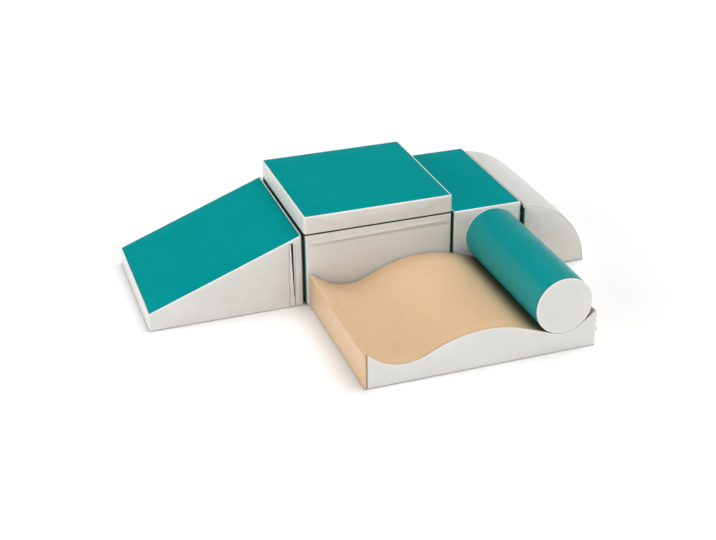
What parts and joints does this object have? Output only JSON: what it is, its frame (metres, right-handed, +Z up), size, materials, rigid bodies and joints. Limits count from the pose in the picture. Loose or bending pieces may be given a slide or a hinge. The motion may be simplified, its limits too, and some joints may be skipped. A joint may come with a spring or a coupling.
{
  "type": "soft play foam climber",
  "caption": "Soft play climbing set of covered foam blocks: ramp, base with lift-off pad, step, quarter-round, and a wave mat with a loose roll in its cradle.",
  "frame": {"origin": "middle of the base block's underside, on the floor", "axes": "+Z up, +X along the row from the ramp to the quarter-round, +Y to the back, away from the wave mat"},
  "size_m": [1.7925, 1.2574, 0.3773],
  "materials": {
    "foam": "open-cell foam",
    "teal_cover": "satin coated fabric",
    "grey_cover": "satin coated fabric",
    "pale_cover": "satin coated fabric",
    "beige_cover": "satin coated fabric",
    "underside": "dotted non-slip fabric",
    "zip_tape": "woven",
    "hook_and_loop": "hook and loop",
    "zip_metal": "black lacquered",
    "ring_steel": "plated wire"
  },
  "bodies": {
    "base": {"base_foam_core": "foam", "base_top_panel": "grey_cover", "base_side_band": "grey_cover", "base_bottom_panel": "underside", "base_zip_tape": "zip_tape", "base_zip_flap": "grey_cover", "base_loop_strip_left": "hook_and_loop", "base_loop_strip_right": "hook_and_loop", "base_loop_strip_front": "hook_and_loop", "base_loop_strip_top": "hook_and_loop"},
    "base_zip": {"base_zip_slider": "zip_metal"},
    "pad": {"pad_foam_core": "foam", "pad_top_panel": "teal_cover", "pad_cover_tray": "grey_cover", "pad_zip_tape": "zip_tape", "pad_hook_strip": "hook_and_loop"},
    "pad_zip": {"pad_zip_slider": "zip_metal"},
    "pad_ring": {"pad_pull_ring": "ring_steel"},
    "ramp": {"ramp_foam_core": "foam", "ramp_slope_panel": "teal_cover", "ramp_side_band": "grey_cover", "ramp_bottom_panel": "underside", "ramp_zip_tape": "zip_tape", "ramp_zip_flap": "grey_cover", "ramp_hook_strip": "hook_and_loop"},
    "ramp_zip": {"ramp_zip_slider": "zip_metal"},
    "step": {"step_foam_core": "foam", "step_top_panel": "teal_cover", "step_side_band": "grey_cover", "step_bottom_panel": "underside", "step_zip_tape": "zip_tape", "step_hook_strip": "hook_and_loop", "step_loop_strip": "hook_and_loop"},
    "step_zip": {"step_zip_slider": "zip_metal"},
    "step_ring": {"step_pull_ring": "ring_steel"},
    "arc": {"arc_foam_core": "foam", "arc_curved_panel": "pale_cover", "arc_walls": "grey_cover", "arc_bottom_panel": "underside", "arc_zip_tape": "zip_tape", "arc_hook_strip": "hook_and_loop"},
    "arc_zip": {"arc_zip_slider": "zip_metal"},
    "arc_ring": {"arc_pull_ring": "ring_steel"},
    "wave": {"wave_foam_core": "foam", "wave_wrap": "beige_cover", "wave_front_panel": "grey_cover", "wave_back_panel": "grey_cover", "wave_bottom_panel": "underside", "wave_zip_tape": "zip_tape", "wave_hook_strip": "hook_and_loop"},
    "wave_zip": {"wave_zip_slider": "zip_metal"},
    "wave_ring": {"wave_pull_ring": "ring_steel"},
    "roll": {"roll_foam_core": "foam", "roll_tube_cover": "teal_cover", "roll_end_disc_near": "grey_cover", "roll_end_disc_far": "grey_cover", "roll_zip_tape": "zip_tape"},
    "roll_zip": {"roll_zip_slider": "zip_metal"}
  },
  "joints": [
    {"name": "pad_lift", "type": "slide", "parent": "base", "child": "pad", "axis": [0, 0, 1], "range_m": [0, 0.12]},
    {"name": "ramp_pull", "type": "slide", "parent": "base", "child": "ramp", "axis": [-1, 0, 0], "range_m": [0, 0.15]},
    {"name": "step_pull", "type": "slide", "parent": "base", "child": "step", "axis": [1, 0, 0], "range_m": [0, 0.15]},
    {"name": "arc_pull", "type": "slide", "parent": "step", "child": "arc", "axis": [1, 0, 0], "range_m": [0, 0.15]},
    {"name": "wave_pull", "type": "slide", "parent": "base", "child": "wave", "axis": [0, -1, 0], "range_m": [0, 0.15]},
    {"name": "roll_turn", "type": "hinge", "parent": "wave", "child": "roll", "pos_m": [0.46625, -0.6227, 0.18601], "axis": [0, 1, 0], "continuous": true},
    {"name": "base_zip_slide", "type": "slide", "parent": "base", "child": "base_zip", "axis": [-1, 0, 0], "range_m": [0, 0.536]},
    {"name": "pad_zip_slide", "type": "slide", "parent": "pad", "child": "pad_zip", "axis": [0, 1, 0], "range_m": [0, 0.544]},
    {"name": "ramp_zip_slide", "type": "slide", "parent": "ramp", "child": "ramp_zip", "axis": [0, 0, -1], "range_m": [0, 0.21]},
    {"name": "step_zip_slide", "type": "slide", "parent": "step", "child": "step_zip", "axis": [-1, 0, 0], "range_m": [0, 0.218]},
    {"name": "arc_zip_slide", "type": "slide", "parent": "arc", "child": "arc_zip", "axis": [0, 0, -1], "range_m": [0, 0.213]},
    {"name": "wave_zip_slide", "type": "slide", "parent": "wave", "child": "wave_zip", "axis": [0, 1, 0], "range_m": [0, 0.57]},
    {"name": "roll_zip_slide", "type": "slide", "parent": "roll", "child": "roll_zip", "axis": [0, -1, 0], "range_m": [0, 0.548]},
    {"name": "pad_ring_swing", "type": "hinge", "parent": "pad_zip", "child": "pad_ring", "pos_m": [0.302, -0.278, 0.33805], "axis": [0, 0, -1], "range_deg": [-90, 90]},
    {"name": "step_ring_swing", "type": "hinge", "parent": "step_zip", "child": "step_ring", "pos_m": [0.5607, 0.302, 0.05], "axis": [0, 0, -1], "range_deg": [-90, 90]},
    {"name": "arc_ring_swing", "type": "hinge", "parent": "arc_zip", "child": "arc_ring", "pos_m": [0.6244, 0.287, 0.268], "axis": [1, 0, 0], "range_deg": [-160, 20]},
    {"name": "wave_ring_swing", "type": "hinge", "parent": "wave_zip", "child": "wave_ring", "pos_m": [0.601, -0.9217, 0.055], "axis": [0, 0, -1], "range_deg": [-90, 90]}
  ]
}
